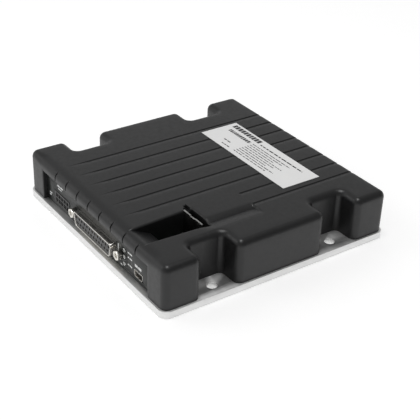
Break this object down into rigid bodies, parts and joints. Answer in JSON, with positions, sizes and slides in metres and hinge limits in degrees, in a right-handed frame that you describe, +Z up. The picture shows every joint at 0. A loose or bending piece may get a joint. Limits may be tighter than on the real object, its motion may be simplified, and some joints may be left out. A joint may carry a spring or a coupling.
{
  "type": "servo drive",
  "caption": "Flat servo drive: ribbed black moulded cover on a square aluminium mounting plate, with a connector face at one end and a terminal bay in the top.",
  "frame": {"origin": "centre of the base plate's underside", "axes": "+Z up out of the base plate; -Y out of the connector face; +X towards the side with the terminal bay"},
  "size_m": [0.14, 0.14, 0.0283],
  "materials": {
    "plate_aluminium": "bead-blasted, clear anodised",
    "cover_plastic": "satin moulded black",
    "panel_plastic": "fine matt black",
    "label_film": null,
    "gap_pad": "soft silicone",
    "board_laminate": "solder-masked glass laminate",
    "zinc_steel": "zinc plated",
    "nickel_shell": "bright nickel plated",
    "nickel_brass": "nickel plated, turned",
    "connector_plastic": "glass-filled moulded black",
    "gold_plate": "gold flash",
    "tin_plate": "bright tin plated, stamped",
    "light_pipe": "clear moulded, slightly milky",
    "led_body": "white package",
    "chip_epoxy": "moulded epoxy",
    "capacitor_sleeve": "shrink sleeve",
    "shunt_alloy": "resistance alloy",
    "ferrite": "moulded ferrite",
    "capacitor_ceramic": "sintered ceramic"
  },
  "bodies": {
    "root": {"base_plate": "plate_aluminium", "cover": "cover_plastic", "front_panel": "panel_plastic", "nameplate_label": "label_film", "thermal_pad": "gap_pad", "main_board": "board_laminate", "board_screws": "zinc_steel", "cover_screws": "zinc_steel", "dsub_shell": "nickel_shell", "dsub_body": "connector_plastic", "dsub_contacts": "gold_plate", "dsub_jackscrews": "nickel_brass", "dsub_bracket": "nickel_shell", "sensor_header": "connector_plastic", "sensor_header_pins": "gold_plate", "usb_shell": "nickel_shell", "usb_tongue": "connector_plastic", "status_light_pipes": "light_pipe", "status_leds": "led_body", "tall_terminal": "tin_plate", "short_terminals": "tin_plate", "power_mosfets": "chip_epoxy", "bus_capacitors": "capacitor_sleeve", "current_shunts": "shunt_alloy", "gate_drivers": "chip_epoxy", "microcontroller": "chip_epoxy", "crystal": "nickel_shell", "can_transceiver": "chip_epoxy", "buck_inductor": "ferrite", "voltage_regulator": "chip_epoxy", "ceramic_capacitors": "capacitor_ceramic"}
  },
  "joints": []
}
